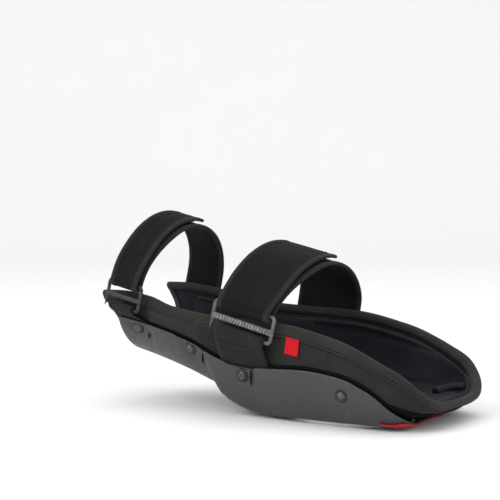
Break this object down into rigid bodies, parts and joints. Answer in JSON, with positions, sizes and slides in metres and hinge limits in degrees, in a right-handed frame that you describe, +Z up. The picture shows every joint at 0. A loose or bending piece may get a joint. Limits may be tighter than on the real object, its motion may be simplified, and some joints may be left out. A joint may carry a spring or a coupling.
{
  "type": "knee pad",
  "caption": "Long knee pad for kneeling: riveted hard shell with a flat sole on a padded cradle that runs under the shin, closed by calf straps on slip-on ring buckles.",
  "frame": {"origin": "on the floor under the kneecap, at the middle of the flat sole", "axes": "+X towards the toe of the pad, the wearer's front; -Y the outer side with the buckles; +Z up, away from the floor"},
  "size_m": [0.3617, 0.1794, 0.1913],
  "materials": {
    "shell": "satin moulded",
    "sole": "matt non-marking",
    "badge": "satin",
    "rivet": "black satin",
    "washer": "black matt",
    "cover": "plain weave",
    "mesh": "open mesh",
    "foam": "closed-cell foam",
    "gel": "soft gel",
    "lining": "brushed knit",
    "binding": "woven tape",
    "label": "woven label",
    "webbing": "woven webbing",
    "strap": "knitted elastic",
    "hook_and_loop": "brushed",
    "buckle": "gunmetal satin"
  },
  "bodies": {
    "pad": {"hard_shell": "shell", "sole_plate": "sole", "front_badge": "badge", "outer_cover": "cover", "foam_cradle": "foam", "gel_insert": "gel", "lining": "lining", "comfort_pad": "lining", "rim_binding": "binding", "rear_binding": "binding", "mesh_panel_near": "mesh", "mesh_panel_far": "mesh", "side_label": "label", "rivet_near_1": "rivet", "rivet_washer_near_1": "washer", "rivet_near_2": "rivet", "rivet_washer_near_2": "washer", "rivet_near_3": "rivet", "rivet_washer_near_3": "washer", "rivet_near_4": "rivet", "rivet_washer_near_4": "washer", "rivet_far_1": "rivet", "rivet_washer_far_1": "washer", "rivet_far_2": "rivet", "rivet_washer_far_2": "washer", "rivet_far_3": "rivet", "rivet_washer_far_3": "washer", "rivet_far_4": "rivet", "rivet_washer_far_4": "washer", "lower_tab_near": "webbing", "lower_tab_far": "webbing", "upper_tab_near": "webbing", "upper_tab_far": "webbing"},
    "upper_buckle": {"upper_buckle": "buckle"},
    "upper_strap": {"upper_strap": "strap", "upper_loop_patch": "hook_and_loop"},
    "upper_tail": {"upper_strap_tail": "strap", "upper_hook_patch": "hook_and_loop"},
    "lower_buckle": {"lower_buckle": "buckle"},
    "lower_strap": {"lower_strap": "strap", "lower_loop_patch": "hook_and_loop"},
    "lower_tail": {"lower_strap_tail": "strap", "lower_hook_patch": "hook_and_loop"}
  },
  "joints": [
    {"name": "upper_buckle_flip", "type": "hinge", "parent": "pad", "child": "upper_buckle", "pos_m": [-0.08399, -0.0856, 0.08037], "axis": [0.9744, 0, -0.225], "range_deg": [0, 25]},
    {"name": "upper_strap_open", "type": "hinge", "parent": "upper_buckle", "child": "upper_strap", "pos_m": [-0.07826, -0.0856, 0.10522], "axis": [0.9744, 0, -0.225], "range_deg": [0, 60]},
    {"name": "upper_tail_peel", "type": "hinge", "parent": "upper_strap", "child": "upper_tail", "pos_m": [-0.07826, -0.0856, 0.10522], "axis": [0.9744, 0, -0.225], "range_deg": [0, 40]},
    {"name": "lower_buckle_flip", "type": "hinge", "parent": "pad", "child": "lower_buckle", "pos_m": [-0.22831, -0.0731, 0.09733], "axis": [0.9744, 0, -0.225], "range_deg": [0, 25]},
    {"name": "lower_strap_open", "type": "hinge", "parent": "lower_buckle", "child": "lower_strap", "pos_m": [-0.22257, -0.0731, 0.12218], "axis": [0.9744, 0, -0.225], "range_deg": [0, 60]},
    {"name": "lower_tail_peel", "type": "hinge", "parent": "lower_strap", "child": "lower_tail", "pos_m": [-0.22257, -0.0731, 0.12218], "axis": [0.9744, 0, -0.225], "range_deg": [0, 40]}
  ]
}
